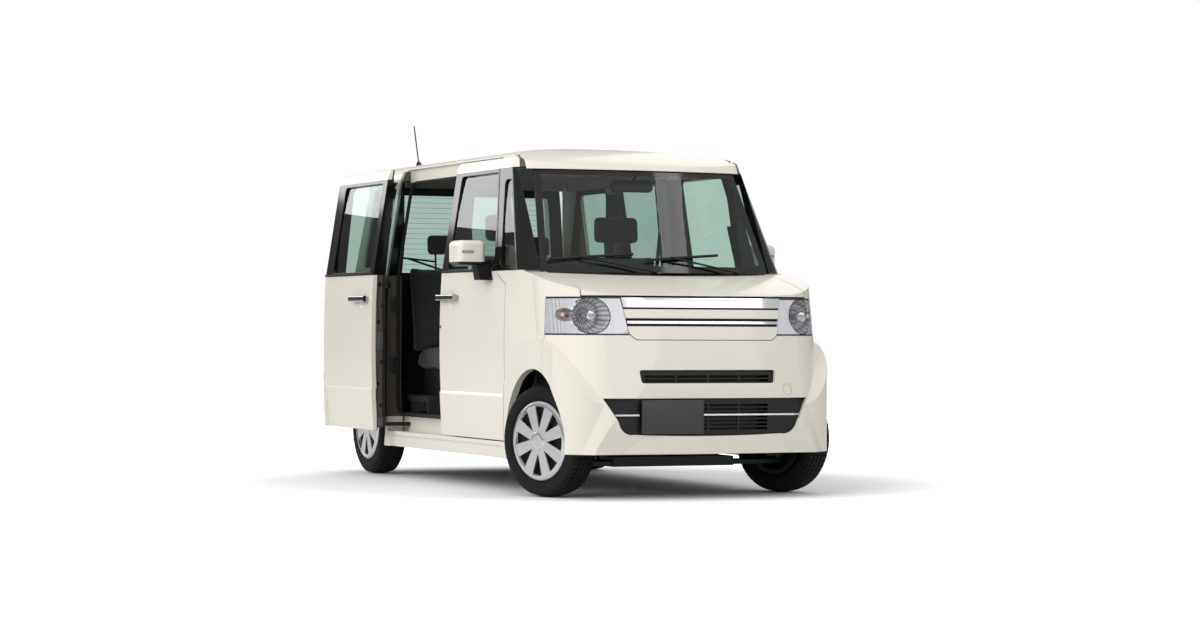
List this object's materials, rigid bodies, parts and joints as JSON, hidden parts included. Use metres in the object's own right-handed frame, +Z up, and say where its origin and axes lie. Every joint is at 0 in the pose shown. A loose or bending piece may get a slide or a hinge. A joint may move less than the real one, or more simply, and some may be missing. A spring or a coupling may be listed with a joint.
{
  "type": "kei car",
  "caption": "Boxy tall-wagon kei car, cream-white, with swinging front doors, sliding rear doors, the right one open, a lifting tailgate and bonnet, steered front wheels and a seated cabin.",
  "frame": {"origin": "on the ground, midway between the car's sides and between its front and rear ends", "axes": "+Z up, -Y towards the front, -X towards the car's right side"},
  "size_m": [1.8075, 3.395, 1.9827],
  "materials": {
    "body_paint": "pearl cream-white gloss paint",
    "tyre": "black tyre rubber",
    "glass": "light green tinted glass",
    "lamp_lens": "clear lens",
    "tail_lens": "red lens",
    "chrome": "bright reflector",
    "handle_chrome": "satin chrome",
    "wheel_silver": "silver paint",
    "black_plastic": "black moulded plastic",
    "cabin_plastic": "dark grained plastic",
    "seat_fabric": "dark woven cloth",
    "cast_metal": "bare casting",
    "bare_steel": "bare steel tube",
    "chassis_black": "black chassis paint"
  },
  "bodies": {
    "car_body": {"floor_pan": "body_paint", "side_frame_right": "body_paint", "side_frame_left": "body_paint", "roof_panel": "body_paint", "front_fenders": "body_paint", "front_bumper": "body_paint", "rear_bumper": "body_paint", "cowl_panel": "black_plastic", "front_grille": "body_paint", "grille_trim": "chrome", "bumper_grille": "black_plastic", "radiator": "chassis_black", "headlamp_housings": "chrome", "headlamp_lenses": "lamp_lens", "tail_lamps": "tail_lens", "windscreen": "glass", "fixed_side_glass": "glass", "windscreen_wipers": "black_plastic", "antenna": "black_plastic", "sliding_door_right": "body_paint", "sliding_door_left": "body_paint", "sliding_door_glass": "glass", "sliding_door_handles": "handle_chrome", "sliding_door_arms": "black_plastic", "dashboard": "cabin_plastic", "front_seats": "seat_fabric", "rear_seats": "seat_fabric", "engine": "cast_metal", "fuel_tank": "chassis_black", "exhaust": "bare_steel", "front_suspension": "chassis_black", "rear_axle": "chassis_black"},
    "bonnet": {"bonnet": "body_paint"},
    "tailgate": {"tailgate": "body_paint", "tailgate_glass": "glass"},
    "steering_wheel": {"steering_wheel": "cabin_plastic"},
    "front_door_right": {"front_door_right": "body_paint", "front_door_glass_right": "glass", "door_mirror_right": "body_paint", "front_door_handle_right": "handle_chrome"},
    "knuckle_right": {"knuckle_right": "cast_metal"},
    "front_wheel_right": {"front_tyre_right": "tyre", "front_wheel_right": "wheel_silver"},
    "rear_wheel_right": {"rear_tyre_right": "tyre", "rear_wheel_right": "wheel_silver"},
    "front_door_left": {"front_door_left": "body_paint", "front_door_glass_left": "glass", "door_mirror_left": "body_paint", "front_door_handle_left": "handle_chrome"},
    "knuckle_left": {"knuckle_left": "cast_metal"},
    "front_wheel_left": {"front_tyre_left": "tyre", "front_wheel_left": "wheel_silver"},
    "rear_wheel_left": {"rear_tyre_left": "tyre", "rear_wheel_left": "wheel_silver"}
  },
  "joints": [
    {"name": "steering_wheel_turn", "type": "hinge", "parent": "car_body", "child": "steering_wheel", "pos_m": [-0.33, -0.5575, 1.03], "axis": [0, 0.848, 0.5299], "range_deg": [-896, 256]},
    {"name": "steer_right", "type": "hinge", "parent": "car_body", "child": "knuckle_right", "pos_m": [-0.622, -1.2075, 0.1686], "axis": [0.1961, 0, 0.9806], "range_deg": [-56, 16]},
    {"name": "front_wheel_right_spin", "type": "hinge", "parent": "knuckle_right", "child": "front_wheel_right", "pos_m": [-0.64946, -1.22511, 0.27799], "axis": [0.942, 0.3354, 0.0116], "continuous": true},
    {"name": "rear_wheel_right_spin", "type": "hinge", "parent": "car_body", "child": "rear_wheel_right", "pos_m": [-0.6525, 1.3125, 0.278], "axis": [1, 0, 0], "continuous": true},
    {"name": "front_door_right_swing", "type": "hinge", "parent": "car_body", "child": "front_door_right", "pos_m": [-0.716, -0.7675, 0.68], "axis": [0, 0, 1], "range_deg": [0, 65]},
    {"name": "steer_left", "type": "hinge", "parent": "car_body", "child": "knuckle_left", "pos_m": [0.622, -1.2075, 0.1686], "axis": [-0.1961, 0, 0.9806], "range_deg": [-56, 16]},
    {"name": "front_wheel_left_spin", "type": "hinge", "parent": "knuckle_left", "child": "front_wheel_left", "pos_m": [0.64946, -1.18989, 0.27799], "axis": [0.942, 0.3354, -0.0116], "continuous": true},
    {"name": "rear_wheel_left_spin", "type": "hinge", "parent": "car_body", "child": "rear_wheel_left", "pos_m": [0.6525, 1.3125, 0.278], "axis": [1, 0, 0], "continuous": true},
    {"name": "front_door_left_swing", "type": "hinge", "parent": "car_body", "child": "front_door_left", "pos_m": [0.716, -0.7675, 0.68], "axis": [0, 0, -1], "range_deg": [0, 65]},
    {"name": "tailgate_lift", "type": "hinge", "parent": "car_body", "child": "tailgate", "pos_m": [0, 1.5335, 1.733], "axis": [1, 0, 0], "range_deg": [0, 80]},
    {"name": "bonnet_lift", "type": "hinge", "parent": "car_body", "child": "bonnet", "pos_m": [0, -1.0955, 1.088], "axis": [-1, 0, 0], "range_deg": [0, 45]}
  ],
  "couplings": [
    {"joint": "steer_right", "follows": "steering_wheel_turn", "ratio": 0.0625},
    {"joint": "steer_left", "follows": "steering_wheel_turn", "ratio": 0.0625}
  ]
}
